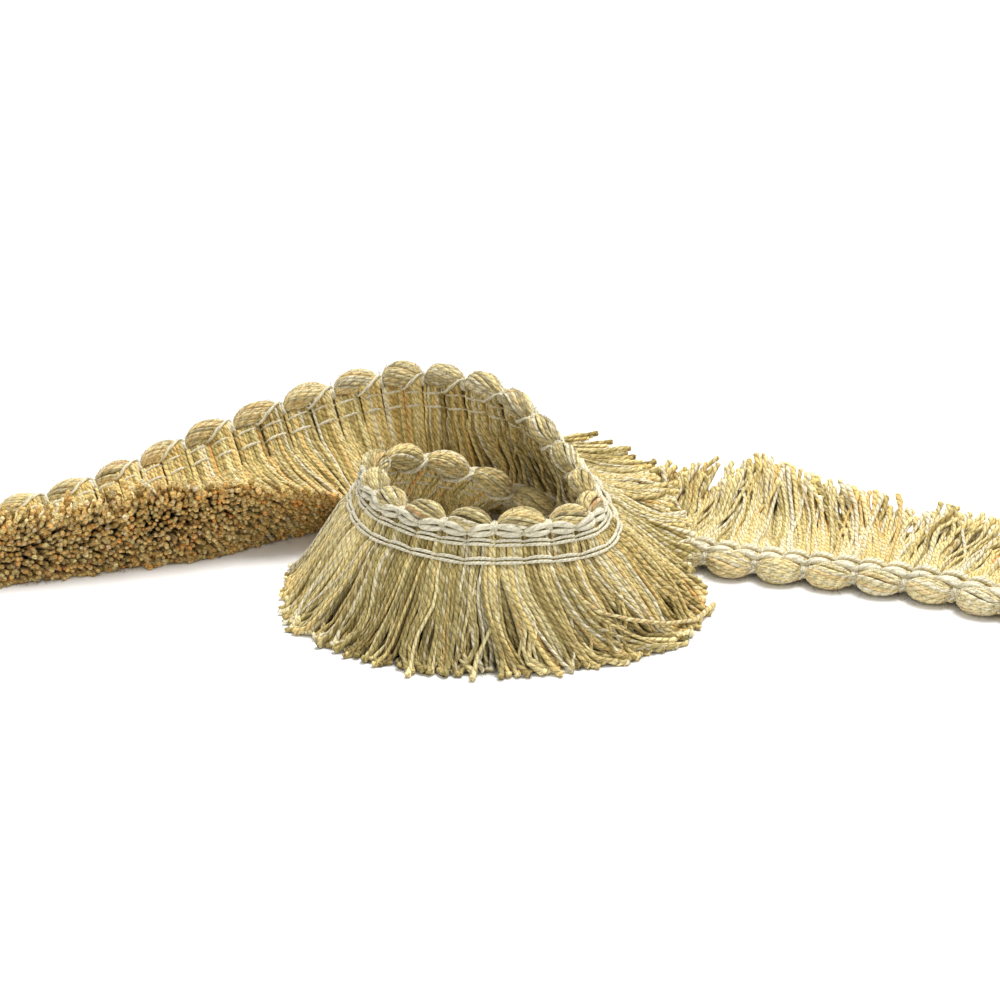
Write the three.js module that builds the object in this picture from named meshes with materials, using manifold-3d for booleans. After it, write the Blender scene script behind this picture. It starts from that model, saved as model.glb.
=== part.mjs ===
// A cut length of brush fringe trim, as furnishers sew along cushions, blinds and sofas. It lies on a
// table the way it came off the card: one end fallen flat with its cut brush forward, a length standing
// on the brush, a coil about 50 mm across, and the other end passing under the coil and lying face up.
//
// A woven heading runs the whole length. A crown of plump yarn puffs is bound along its upper edge, and
// a thick skirt of cut yarn hangs from its lower edge. Units are millimetres, +Z is up and the table is
// z = 0. The origin is under the middle of the trim.
//
// Places along the trim are counted in puffs of the crown, so puff 9 is where puff number 9 is, and the
// same count places the heading's cells, two to a puff, and the locks of the fringe.

import * as THREE from "three";
import { mergeVertices } from "three/addons/utils/BufferGeometryUtils.js";
import Module from "manifold-3d";

const wasm = await Module();
wasm.setup();

// The trim's own sizes
const FIRST_PUFF = -1.75; // where the trim is cut at its left end, in puffs
const LAST_PUFF = 36.25; // and at its right end
const PUFF = { radius: 2.9, neck: 0.95, drop: 1.2, half: 0.45, flatness: 0.88, sides: 8 };
const PUFF_RINGS = [-0.5, -0.42, -0.3, -0.12, 0.12, 0.3, 0.42]; // where each puff's rings are, in puffs
const HEADING = { bottom: 9.5, back: 1.0, valley: 0.85, cord: 1.5, cellsPerPuff: 2, pinch: 0.7, gap: 0.35 };
const CORD_ROWS = [4.1, 6.3, 8.7]; // how far below the crown's axis the three pairs of cords run
const FRINGE = { root: 11, strip: [9.85, 12.3], stripThickness: 4, rootThickness: 3.2, bend: 0.42 };
const LOCKS = { perPuff: 3, layers: 2, fill: 0.78, layerGap: 0.06, sway: 0.07, uneven: 0.06, stages: [0, 0.5, 1] };
const PUFFS_PER_STRIP = 2; // each backing strip carries the locks of this many puffs
const STRIP_GAP = 0.035; // between two strips, in puffs

// The middle of the trim on the table, in the same coordinates as the rows of LAY
const MIDDLE = { x: -0.8, y: -49.5 };

// How the trim lies: a row for each place where it bends, rises or turns over. x, y and crown place the
// crown's axis. lean turns the heading from hanging straight down, 0, to lying with its fringe away from
// the viewer, 90, or towards the viewer, -90. The other columns place the tips of the fringe under the
// heading's back and under its face: reach is how far out from the crown, and rise how high. A rise below
// zero presses yarn flat along the table, which it never goes through.
const LAY = [
  { puff: -2, x: -141.0, y: -22.5, crown: 3.4, lean: -84, backReach: -36, backRise: 16, faceReach: -36, faceRise: -4 },
  { puff: 0, x: -117.8, y: -16.4, crown: 5.0, lean: -80, backReach: -36, backRise: 17, faceReach: -35, faceRise: -4 },
  { puff: 2, x: -94.8, y: -10.1, crown: 11.0, lean: -66, backReach: -36, backRise: 19, faceReach: -32, faceRise: -4 },
  { puff: 4, x: -72.3, y: -7.9, crown: 21.0, lean: -48, backReach: -32, backRise: 19.5, faceReach: -26, faceRise: -3 },
  { puff: 6, x: -47.7, y: -6.0, crown: 30.0, lean: -30, backReach: -26, backRise: 14, faceReach: -18, faceRise: -2 },
  { puff: 7, x: -35.4, y: -5.2, crown: 33.5, lean: -20, backReach: -19, backRise: 5, faceReach: -9, faceRise: -1 },
  { puff: 8, x: -24.0, y: -5.3, crown: 35.5, lean: -8, backReach: -9, backRise: 0, faceReach: 3, faceRise: 0 },
  { puff: 9, x: -13.5, y: -9.6, crown: 36.5, lean: 4, backReach: -1, backRise: 5, faceReach: 14, faceRise: 2 },
  { puff: 10, x: -3.7, y: -17.2, crown: 37.0, lean: 14, backReach: 4, backRise: 10, faceReach: 25, faceRise: 15 },
  { puff: 11, x: 4.3, y: -27.0, crown: 35.6, lean: 26, backReach: 5, backRise: 12, faceReach: 29, faceRise: 18 },
  { puff: 13, x: 15.2, y: -47.7, crown: 29.8, lean: 42, backReach: 12, backRise: 13, faceReach: 30, faceRise: 16 },
  { puff: 14, x: 18.6, y: -59.0, crown: 27.8, lean: 42, backReach: 16, backRise: 7, faceReach: 28, faceRise: 8 },
  { puff: 15, x: 20.2, y: -70.8, crown: 27.2, lean: 38, backReach: 12, backRise: 0, faceReach: 26, faceRise: 0 },
  { puff: 16, x: 15.4, y: -80.6, crown: 28.4, lean: 32, backReach: 7, backRise: 0, faceReach: 18, faceRise: 0 },
  { puff: 18, x: -6.6, y: -84.2, crown: 29.0, lean: 32, backReach: 7, backRise: 0, faceReach: 17.5, faceRise: 0 },
  { puff: 20, x: -24.2, y: -71.0, crown: 28.6, lean: 33, backReach: 8, backRise: 0, faceReach: 20.5, faceRise: 0 },
  { puff: 22, x: -29.0, y: -48.9, crown: 28.9, lean: 31, backReach: 7, backRise: 0, faceReach: 19, faceRise: 0 },
  { puff: 23, x: -22.3, y: -39.6, crown: 27.2, lean: 30, backReach: 4, backRise: 0, faceReach: 12, faceRise: 0 },
  { puff: 24, x: -12.3, y: -35.5, crown: 23.7, lean: 36, backReach: 6, backRise: 0, faceReach: 14, faceRise: 0 },
  { puff: 25, x: -1.4, y: -33.8, crown: 18.4, lean: 48, backReach: 15, backRise: 0, faceReach: 19, faceRise: 5 },
  { puff: 26, x: 7.8, y: -31.9, crown: 12.7, lean: 64, backReach: 27, backRise: 0, faceReach: 26, faceRise: 9 },
  { puff: 28, x: 31.0, y: -38.2, crown: 4.8, lean: 80, backReach: 34, backRise: -2, faceReach: 34, faceRise: 11 },
  { puff: 30, x: 53.8, y: -48.4, crown: 3.2, lean: 86, backReach: 36, backRise: -3, faceReach: 36.5, faceRise: 14 },
  { puff: 32, x: 76.4, y: -55.2, crown: 3.1, lean: 87, backReach: 35, backRise: -3, faceReach: 35.5, faceRise: 10.5 },
  { puff: 34, x: 98.7, y: -63.4, crown: 3.1, lean: 87, backReach: 33, backRise: -3, faceReach: 33, faceRise: 9.5 },
  { puff: 36, x: 119.2, y: -76.8, crown: 3.1, lean: 87, backReach: 31, backRise: -3, faceReach: 31, faceRise: 7 },
];

const UP = new THREE.Vector3(0, 0, 1);

// The slope of a column of LAY at one of its rows
function slopeAt(column, row) {
  const before = LAY[Math.max(row - 1, 0)];
  const after = LAY[Math.min(row + 1, LAY.length - 1)];
  return (after[column] - before[column]) / (after.puff - before.puff);
}

// A column of LAY at any place along the trim, on a smooth curve through its rows
function lay(column, puff) {
  const found = LAY.findIndex((row) => row.puff > puff);
  const last = found < 1 ? LAY.length - 1 : found;
  const [a, b] = [LAY[last - 1], LAY[last]];
  const span = b.puff - a.puff;
  const u = (puff - a.puff) / span;
  const rising = u * u * (3 - 2 * u);
  const leaving = u * (1 - u) * (1 - u) * span * slopeAt(column, last - 1);
  const arriving = u * u * (u - 1) * span * slopeAt(column, last);
  return a[column] + (b[column] - a[column]) * rising + leaving + arriving;
}

// The trim's own directions at one place: its crown's axis, the level way out from it on the face's side,
// the way down the heading, and the way straight out of the heading's face
function station(puff) {
  const step = 0.05;
  const ahead = new THREE.Vector3(
    lay("x", puff + step) - lay("x", puff - step),
    lay("y", puff + step) - lay("y", puff - step),
    0,
  ).normalize();
  const out = UP.clone().cross(ahead);
  const lean = THREE.MathUtils.degToRad(lay("lean", puff));
  return {
    axis: new THREE.Vector3(lay("x", puff) - MIDDLE.x, lay("y", puff) - MIDDLE.y, lay("crown", puff)),
    out,
    down: out.clone().multiplyScalar(Math.sin(lean)).addScaledVector(UP, -Math.cos(lean)),
    face: out.clone().multiplyScalar(Math.cos(lean)).addScaledVector(UP, Math.sin(lean)),
  };
}

// A point of the heading, so far below the crown's axis and so far out on the face's side
function onHeading(puff, below, outward) {
  const here = station(puff);
  return here.axis.clone().addScaledVector(here.down, below).addScaledVector(here.face, outward);
}

// A point inside the brush: across runs from its back, 0, to its face, 1, and along from root, 0, to tip, 1.
// Yarn leaves the heading in line with it and bends over to its tip. Nothing goes below the table.
// Stretch makes the tip reach out farther or less far.
function inBrush(puff, across, along, stretch) {
  const here = station(puff);
  const root = onHeading(puff, FRINGE.root, (across - 0.5) * FRINGE.rootThickness);
  const reach = stretch * THREE.MathUtils.lerp(lay("backReach", puff), lay("faceReach", puff), across);
  const rise = THREE.MathUtils.lerp(lay("backRise", puff), lay("faceRise", puff), across);
  const tip = new THREE.Vector3(here.axis.x, here.axis.y, rise).addScaledVector(here.out, reach);
  const knee = root.clone().addScaledVector(here.down, FRINGE.bend * root.distanceTo(tip));
  const point = new THREE.QuadraticBezierCurve3(root, knee, tip).getPoint(along);
  point.z = Math.max(point.z, 0);
  return point;
}

// A repeatable unevenness from -1 to 1 for the lock or puff with this number
function uneven(number, kind) {
  const wave = Math.sin(number * 12.9898 + kind * 78.233) * 43758.5453;
  return 2 * (wave - Math.floor(wave)) - 1;
}

// A closed solid through rings that have the same number of points, its ends closed flat
function loft(rings) {
  const count = rings[0].length;
  const corners = rings.flat().flatMap((point) => point.toArray());
  const faces = [];
  for (let ring = 0; ring < rings.length - 1; ring++) {
    for (let i = 0; i < count; i++) {
      const [a, b] = [ring * count + i, ring * count + ((i + 1) % count)];
      faces.push(a, b, b + count, a, b + count, a + count);
    }
  }
  const end = (rings.length - 1) * count;
  const cap = THREE.ShapeUtils.triangulateShape(capOutline(rings[0]), []);
  const lid = THREE.ShapeUtils.triangulateShape(capOutline(rings[rings.length - 1]), []);
  for (const [a, b, c] of cap) faces.push(a, c, b);
  for (const [a, b, c] of lid) faces.push(end + a, end + b, end + c);
  const geometry = new THREE.BufferGeometry();
  geometry.setAttribute("position", new THREE.Float32BufferAttribute(corners, 3));
  geometry.setIndex(faces);
  return geometry;
}

// The outline of a ring in its own plane, counter-clockwise as its points run, so that it can be closed
function capOutline(ring) {
  const middle = ring.reduce((sum, point) => sum.add(point), new THREE.Vector3()).divideScalar(ring.length);
  const normal = new THREE.Vector3();
  ring.forEach((point, i) => {
    const next = ring[(i + 1) % ring.length];
    normal.add(point.clone().sub(middle).cross(next.clone().sub(middle)));
  });
  normal.normalize();
  const u = ring[0].clone().sub(middle);
  u.addScaledVector(normal, -u.dot(normal)).normalize();
  const v = normal.clone().cross(u);
  return ring.map((point) => {
    const arm = point.clone().sub(middle);
    return new THREE.Vector2(arm.dot(u), arm.dot(v));
  });
}

// A geometry as a solid for joining, and a joined solid as a geometry again
function solidOf(geometry) {
  const merged = mergeVertices(geometry, 1e-4);
  return new wasm.Manifold(
    new wasm.Mesh({
      numProp: 3,
      vertProperties: new Float32Array(merged.attributes.position.array),
      triVerts: new Uint32Array(merged.index.array),
    }),
  );
}

function geometryOf(solid) {
  const mesh = solid.getMesh();
  const geometry = new THREE.BufferGeometry();
  geometry.setAttribute("position", new THREE.BufferAttribute(new Float32Array(mesh.vertProperties), 3));
  geometry.setIndex(new THREE.BufferAttribute(new Uint32Array(mesh.triVerts), 1));
  return geometry;
}

// How thick the crown is at one place, and how far its middle is drawn down towards the heading: it is
// full in the middle of a puff, rounded at the puff's ends and bound tight at the neck between two
function crownAt(puff) {
  const away = Math.min(Math.abs(puff - Math.round(puff)) / PUFF.half, 1);
  const full = Math.pow(1 - Math.pow(away, 1.9), 0.66);
  return {
    radius: PUFF.neck + (PUFF.radius - PUFF.neck) * full,
    drop: PUFF.drop * Math.pow(1 - full, 1.5),
  };
}

// The crown: one yarn bundle along the heading's upper edge, bound into puffs
function crown() {
  const rings = [];
  const places = [FIRST_PUFF];
  for (let number = Math.floor(FIRST_PUFF); number <= Math.ceil(LAST_PUFF); number++) {
    places.push(...PUFF_RINGS.map((ring) => number + ring).filter((p) => p > FIRST_PUFF && p < LAST_PUFF));
  }
  places.push(LAST_PUFF);
  for (const puff of places) {
    const { radius, drop } = crownAt(puff);
    const ring = [];
    for (let side = 0; side < PUFF.sides; side++) {
      const angle = (2 * Math.PI * side) / PUFF.sides;
      const outward = radius * PUFF.flatness * Math.sin(angle);
      ring.push(onHeading(puff, drop + radius * Math.cos(angle), outward));
    }
    rings.push(ring);
  }
  return loft(rings);
}

// The heading's outline at one place: a plain back, and a face with three rounded rows of cord. It is
// drawn in where two cells meet, and its upper edge follows the puffs.
function headingRing(puff, pinched) {
  const swell = pinched ? HEADING.pinch : 1;
  const { radius, drop } = crownAt(puff);
  const top = drop + radius + HEADING.gap;
  const half = (CORD_ROWS[1] - CORD_ROWS[0]) / 2;
  const outline = [
    [top, -HEADING.back],
    [HEADING.bottom, -HEADING.back],
    [HEADING.bottom, HEADING.valley * swell],
  ];
  for (const row of [...CORD_ROWS].reverse()) {
    outline.push([row, HEADING.cord * swell]);
    outline.push([Math.max(row - half, top), HEADING.valley * swell]);
  }
  return outline.map(([below, outward]) => onHeading(puff, below, outward));
}

// The heading: one woven band, its cells standing out between the ties
function heading() {
  const rings = [];
  const steps = 2 * HEADING.cellsPerPuff;
  const count = Math.round((LAST_PUFF - FIRST_PUFF) * steps);
  for (let i = 0; i <= count; i++) rings.push(headingRing(FIRST_PUFF + i / steps, i % 2 === 0));
  return loft(rings);
}

// A narrow backing strip, from one place along the trim to another, in the plane of the heading
function backing(from, to) {
  const rings = [];
  const count = Math.ceil((to - from) * LOCKS.perPuff);
  const half = FRINGE.stripThickness / 2;
  const [top, bottom] = FRINGE.strip;
  for (let i = 0; i <= count; i++) {
    const puff = THREE.MathUtils.lerp(from, to, i / count);
    rings.push([
      onHeading(puff, top, -half),
      onHeading(puff, bottom, -half),
      onHeading(puff, bottom, half),
      onHeading(puff, top, half),
    ]);
  }
  return loft(rings);
}

// One lock of fringe: four sides, rooted in the backing, a little longer or shorter than its neighbours
function lock(puff, layer, number) {
  const half = (LOCKS.fill * 0.5) / LOCKS.perPuff;
  const low = layer * (0.5 + LOCKS.layerGap / 2);
  const high = low + 0.5 - LOCKS.layerGap / 2;
  const shift = (LOCKS.sway / LOCKS.perPuff) * uneven(number, layer);
  const stretch = 1 + LOCKS.uneven * uneven(number, layer + LOCKS.layers);
  const rings = LOCKS.stages.map((along) => {
    const middle = puff + shift * along * along;
    return [
      inBrush(middle - half, low, along, stretch),
      inBrush(middle - half, high, along, stretch),
      inBrush(middle + half, high, along, stretch),
      inBrush(middle + half, low, along, stretch),
    ];
  });
  return loft(rings);
}

// A length of skirt: a backing strip with its locks in two layers
function skirt(from, to) {
  let whole = solidOf(backing(from, to));
  const count = Math.round((to - from) * LOCKS.perPuff);
  for (let i = 0; i < count; i++) {
    const puff = THREE.MathUtils.lerp(from, to, (i + 0.5) / count);
    for (let layer = 0; layer < LOCKS.layers; layer++) {
      whole = whole.add(solidOf(lock(puff, layer, Math.round(puff * LOCKS.perPuff))));
    }
  }
  return geometryOf(whole);
}

function piece(name, geometry, color, roughness) {
  const material = new THREE.MeshStandardMaterial({ color, roughness, metalness: 0 });
  const mesh = new THREE.Mesh(geometry, material);
  mesh.name = name;
  return mesh;
}

const trim = new THREE.Group();
trim.add(piece("crown", crown(), 0xcbbd85, 0.85));
trim.add(piece("heading", heading(), 0xd9d4b8, 0.9));
const strips = Math.round((LAST_PUFF - FIRST_PUFF) / PUFFS_PER_STRIP);
for (let i = 0; i < strips; i++) {
  const from = THREE.MathUtils.lerp(FIRST_PUFF, LAST_PUFF, i / strips);
  const to = THREE.MathUtils.lerp(FIRST_PUFF, LAST_PUFF, (i + 1) / strips);
  const name = "fringe_" + String(i + 1).padStart(2, "0");
  trim.add(piece(name, skirt(from + STRIP_GAP / 2, to - STRIP_GAP / 2), 0xc9b377, 0.9));
}

export default trim;
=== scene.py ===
"""A cut length of brush fringe trim lying on a pale table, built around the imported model.

The trim is made as its maker makes it: plied yarns stand side by side through a narrow woven heading and
hang below it as the cut brush, cream cords bind them across the heading's face and back, and along the
top a bundle of soft yarn is tied off into plump puffs. Lengths here are in millimetres until a mesh is
made, and places along the trim are counted in puffs, as in the model.
"""

import math

import bmesh
import bpy
import numpy as np
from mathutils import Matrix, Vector


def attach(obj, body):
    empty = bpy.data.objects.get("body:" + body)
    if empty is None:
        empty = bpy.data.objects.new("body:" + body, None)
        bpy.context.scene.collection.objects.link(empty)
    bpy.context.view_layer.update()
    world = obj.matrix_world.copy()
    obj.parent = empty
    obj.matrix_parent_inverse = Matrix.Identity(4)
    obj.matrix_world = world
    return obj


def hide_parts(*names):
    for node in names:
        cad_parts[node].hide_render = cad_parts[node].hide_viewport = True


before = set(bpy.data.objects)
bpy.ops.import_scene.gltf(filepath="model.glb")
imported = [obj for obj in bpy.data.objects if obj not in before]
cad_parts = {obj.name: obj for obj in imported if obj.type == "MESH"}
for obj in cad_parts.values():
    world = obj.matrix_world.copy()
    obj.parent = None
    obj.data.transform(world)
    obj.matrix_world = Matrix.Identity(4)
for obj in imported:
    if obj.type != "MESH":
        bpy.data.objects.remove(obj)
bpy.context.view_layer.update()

MM = 0.001
rng = np.random.default_rng(20)

# How the trim lies, as in the model: where the crown's axis runs, how the heading leans, and where the
# tips of the brush reach under the heading's back and under its face
LAY_COLUMNS = ("puff", "x", "y", "crown", "lean", "back_reach", "back_rise", "face_reach", "face_rise")
LAY = np.array(
    [
        (-2, -141.0, -22.5, 3.4, -84, -36, 16, -36, -4),
        (0, -117.8, -16.4, 5.0, -80, -36, 17, -35, -4),
        (2, -94.8, -10.1, 11.0, -66, -36, 19, -32, -4),
        (4, -72.3, -7.9, 21.0, -48, -32, 19.5, -26, -3),
        (6, -47.7, -6.0, 30.0, -30, -26, 14, -18, -2),
        (7, -35.4, -5.2, 33.5, -20, -19, 5, -9, -1),
        (8, -24.0, -5.3, 35.5, -8, -9, 0, 3, 0),
        (9, -13.5, -9.6, 36.5, 4, -1, 5, 14, 2),
        (10, -3.7, -17.2, 37.0, 14, 4, 10, 25, 15),
        (11, 4.3, -27.0, 35.6, 26, 5, 12, 29, 18),
        (13, 15.2, -47.7, 29.8, 42, 12, 13, 30, 16),
        (14, 18.6, -59.0, 27.8, 42, 16, 7, 28, 8),
        (15, 20.2, -70.8, 27.2, 38, 12, 0, 26, 0),
        (16, 15.4, -80.6, 28.4, 32, 7, 0, 18, 0),
        (18, -6.6, -84.2, 29.0, 32, 7, 0, 17.5, 0),
        (20, -24.2, -71.0, 28.6, 33, 8, 0, 20.5, 0),
        (22, -29.0, -48.9, 28.9, 31, 7, 0, 19, 0),
        (23, -22.3, -39.6, 27.2, 30, 4, 0, 12, 0),
        (24, -12.3, -35.5, 23.7, 36, 6, 0, 14, 0),
        (25, -1.4, -33.8, 18.4, 48, 15, 0, 19, 5),
        (26, 7.8, -31.9, 12.7, 64, 27, 0, 26, 9),
        (28, 31.0, -38.2, 4.8, 80, 34, -2, 34, 11),
        (30, 53.8, -48.4, 3.2, 86, 36, -3, 36.5, 14),
        (32, 76.4, -55.2, 3.1, 87, 35, -3, 35.5, 10.5),
        (34, 98.7, -63.4, 3.1, 87, 33, -3, 33, 9.5),
        (36, 119.2, -76.8, 3.1, 87, 31, -3, 31, 7),
    ]
)
# What is taken off every place, so that the trim lies round the origin
MIDDLE = np.array([-0.8, -49.5, 0.0])
FIRST_PUFF = -1.75
LAST_PUFF = 36.25
PUFF_PITCH = 12.0
PUFFS_PER_STRIP = 2

# The brush below the heading
BRUSH_ROOT = 11.0
BRUSH_ROOT_THICKNESS = 3.2
BRUSH_BEND = 0.42

# Where the fallen end begins to rise, the tips under its face are drawn in closer than the model's locks,
# and lie looser on the table: a place, and what is added to their reach and to their rise, in mm
DRAWN_IN_COLUMNS = ("puff", "face_reach", "face_rise")
DRAWN_IN = np.array([(3, 0, 0), (4, 2.5, 0.5), (5, 6, 2), (6, 9, 3), (7, 5.5, 1.5), (8, 0, 0)])

# The camera of the photograph: 22 degrees above the table and 0.7 m away, with a long lens
CAMERA = {"elevation": 22.0, "distance": 700.0, "lens": 100.0, "sensor": 36.0}


# Places on the trim


def read_off(table, place):
    """A value from a table with a place and a value in each row, straight between its rows."""
    places, values = zip(*table)
    return np.interp(place, places, values)


def lay(column, puff):
    """A column of LAY at any places along the trim, on a smooth curve through its rows."""
    column = LAY_COLUMNS.index(column)
    places, values = LAY[:, 0], LAY[:, column]
    slopes = np.empty(len(LAY))
    slopes[1:-1] = (values[2:] - values[:-2]) / (places[2:] - places[:-2])
    slopes[0] = (values[1] - values[0]) / (places[1] - places[0])
    slopes[-1] = (values[-1] - values[-2]) / (places[-1] - places[-2])
    last = np.clip(np.searchsorted(places, puff, side="right"), 1, len(LAY) - 1)
    first = last - 1
    span = places[last] - places[first]
    u = (puff - places[first]) / span
    rising = u * u * (3 - 2 * u)
    leaving = u * (1 - u) ** 2 * span * slopes[first]
    arriving = u * u * (u - 1) * span * slopes[last]
    return values[first] + (values[last] - values[first]) * rising + leaving + arriving


def face_tips(column, puff):
    """The reach or the rise of the tips under the heading's face."""
    added = DRAWN_IN[:, DRAWN_IN_COLUMNS.index(column)]
    return lay(column, puff) + np.interp(puff, DRAWN_IN[:, 0], added)


def unit(vectors):
    """These vectors at length 1."""
    return vectors / np.maximum(np.linalg.norm(vectors, axis=-1, keepdims=True), 1e-9)


def station(puff):
    """The trim's own directions at places along it: axis of the crown, ahead, out, down and face, with
    the level way ahead and how steeply the crown climbs."""
    puff = np.asarray(puff, float)
    step = 0.05
    route = ("x", "y", "crown")
    run = np.stack([lay(column, puff + step) - lay(column, puff - step) for column in route], -1)
    level = unit(run * np.array([1.0, 1.0, 0.0]))
    out = np.cross(np.array([0.0, 0.0, 1.0]), level)
    ahead = unit(run)
    up = np.cross(ahead, out)
    climb = ahead[..., 2:] / np.linalg.norm(ahead[..., :2], axis=-1, keepdims=True)
    lean = np.radians(lay("lean", puff))[..., None]
    axis = np.stack([lay(column, puff) for column in route], -1) - MIDDLE
    down = out * np.sin(lean) - up * np.cos(lean)
    face = out * np.cos(lean) + up * np.sin(lean)
    directions = {"ahead": ahead, "level": level, "out": out, "down": down, "face": face}
    return {"axis": axis, "climb": climb, **directions}


def on_heading(puff, below, outward):
    """Points so far below the crown's axis and so far out on the face's side."""
    here = station(puff)
    below = np.asarray(below, float)[..., None]
    outward = np.asarray(outward, float)[..., None]
    return here["axis"] + here["down"] * below + here["face"] * outward


def in_brush(puff, across, along, stretch, bend=BRUSH_BEND):
    """Points in the brush: across from its back, 0, to its face, 1, and along from root, 0, to tip, 1."""
    here = station(puff)
    root = on_heading(puff, BRUSH_ROOT, (across - 0.5) * BRUSH_ROOT_THICKNESS)
    reach = stretch * (lay("back_reach", puff) * (1 - across) + face_tips("face_reach", puff) * across)
    rise = lay("back_rise", puff) * (1 - across) + face_tips("face_rise", puff) * across
    tip = here["axis"] * np.array([1.0, 1.0, 0.0]) + here["out"] * reach[..., None]
    # where the crown climbs the brush still hangs square to it, so its tips lie further on
    tip = tip + here["level"] * here["climb"] * (here["axis"][..., 2] - rise)[..., None]
    tip[..., 2] = rise
    length = np.linalg.norm(tip - root, axis=-1, keepdims=True)
    knee = root + here["down"] * bend * length
    t = np.asarray(along, float)[..., None]
    return root * (1 - t) ** 2 + knee * 2 * t * (1 - t) + tip * t * t


# Colours, and meshes of many strands


def linear(hex_colour):
    """An sRGB hex colour as linear red, green and blue."""
    channels = np.array([int(hex_colour[i : i + 2], 16) / 255 for i in (0, 2, 4)])
    return np.where(channels <= 0.04045, channels / 12.92, ((channels + 0.055) / 1.055) ** 2.4)


YARN = {
    "cream": linear("f6edcc"),
    "pale_straw": linear("f3e3a6"),
    "straw": linear("e8d088"),
    "olive": linear("b3a263"),
    "khaki": linear("9a864c"),
    "gold": linear("e9c67c"),
    "amber": linear("cc9650"),
}
YARN_DYES = np.array(list(YARN.values()))
CORD_CREAM = linear("eee7cb")
DARK_BROWN = linear("57401a")
BACK_TIE_BROWN = linear("7d6335")
GROUND_OLIVE = linear("7d6c3c")
# the cut ends' browns and golds: partly the yarn's inside, partly painted shade
SHADED_CUT_ENDS = np.array([linear(dye) for dye in ("ba9040", "ac7c30", "7c5620", "d6903a", "cbb880", "ab8a46")])
TIE_BROWN = linear("8f7442")

# The yarn is dyed in lengths, so its mix changes slowly along the trim: a share of each dye at each place
DYE_PLACES = np.array([-2, 3, 7, 10, 13, 15, 17, 18.6, 20, 22, 27, 30, 33, 37])
DYE_SHARES = np.array(
    [
        # cream, pale straw, straw, olive, khaki, gold, amber
        (0.5, 4, 6, 4, 4, 5, 0.8),
        (0.5, 4, 6, 4, 4, 5, 0.8),
        (2, 5, 6, 5, 4, 3, 0.4),
        (4, 4, 3.5, 7, 5, 1, 0.1),
        (5, 4, 3.5, 6, 4, 1, 0.1),
        (2, 5, 6, 5, 3, 2, 0.4),
        (4, 7, 6, 3, 3, 2, 0.2),
        (1, 3, 4, 8, 5, 1, 0.3),
        (4, 7, 6, 4, 2, 2, 0.2),
        (2, 4, 5, 6, 3, 2, 0.4),
        (2, 4, 6, 6, 3, 2, 0.3),
        (5, 7, 6, 2, 1, 2, 0.1),
        (6, 8, 6, 2, 1, 2, 0.1),
        (6, 8, 6, 2, 1, 2, 0.1),
    ]
)
# How light the yarn is: a place, and a factor on its dye, partly for the yarn's lot and partly painted light
# for how the light falls there
LOT_AND_PAINTED_LIGHT = (
    ((-2, 1.2), (8, 1.25), (10, 1.1), (14.5, 1.0), (16, 0.93), (20, 0.95), (21.5, 1.03), (23, 1.3))
    + ((27, 1.3), (37, 1.3))
)
SHADE_SPREAD = 0.08
# no channel of a dye is lighter than this
BRIGHTEST = 0.9


def pick_dyes_and_painted_light(puff):
    """A dye for each of these places, drawn from the mix there, made lighter or darker partly by the yarn's
    lot and partly with painted light.
    """
    weights = np.stack([np.interp(puff, DYE_PLACES, share) for share in DYE_SHARES.T], -1)
    totals = np.cumsum(weights / weights.sum(-1, keepdims=True), -1)
    chosen = (rng.random(puff.shape)[..., None] > totals).sum(-1)
    shade = rng.normal(read_off(LOT_AND_PAINTED_LIGHT, puff), SHADE_SPREAD)[..., None]
    dye_and_painted_light = YARN_DYES[np.clip(chosen, 0, len(YARN) - 1)] * shade
    return dye_and_painted_light / np.maximum(dye_and_painted_light.max(-1, keepdims=True) / BRIGHTEST, 1.0)


def add_object(name, data):
    """An object for this mesh, light or camera, in the scene."""
    added = bpy.data.objects.new(name, data)
    bpy.context.scene.collection.objects.link(added)
    return added


def ring_quads(index):
    """The faces between neighbouring rings, from vertex numbers laid out as (strand, ring, corner)."""
    near, far = index[:, :-1], index[:, 1:]
    return np.stack([near, np.roll(near, -1, -1), np.roll(far, -1, -1), far], -1).reshape(-1, 4)


def dye_points(mesh, layer, colours):
    """A colour attribute with a red, green, blue and alpha for each vertex."""
    attribute = mesh.color_attributes.new(layer, "FLOAT_COLOR", "POINT")
    attribute.data.foreach_set("color", colours.astype(np.float32).ravel())


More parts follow.
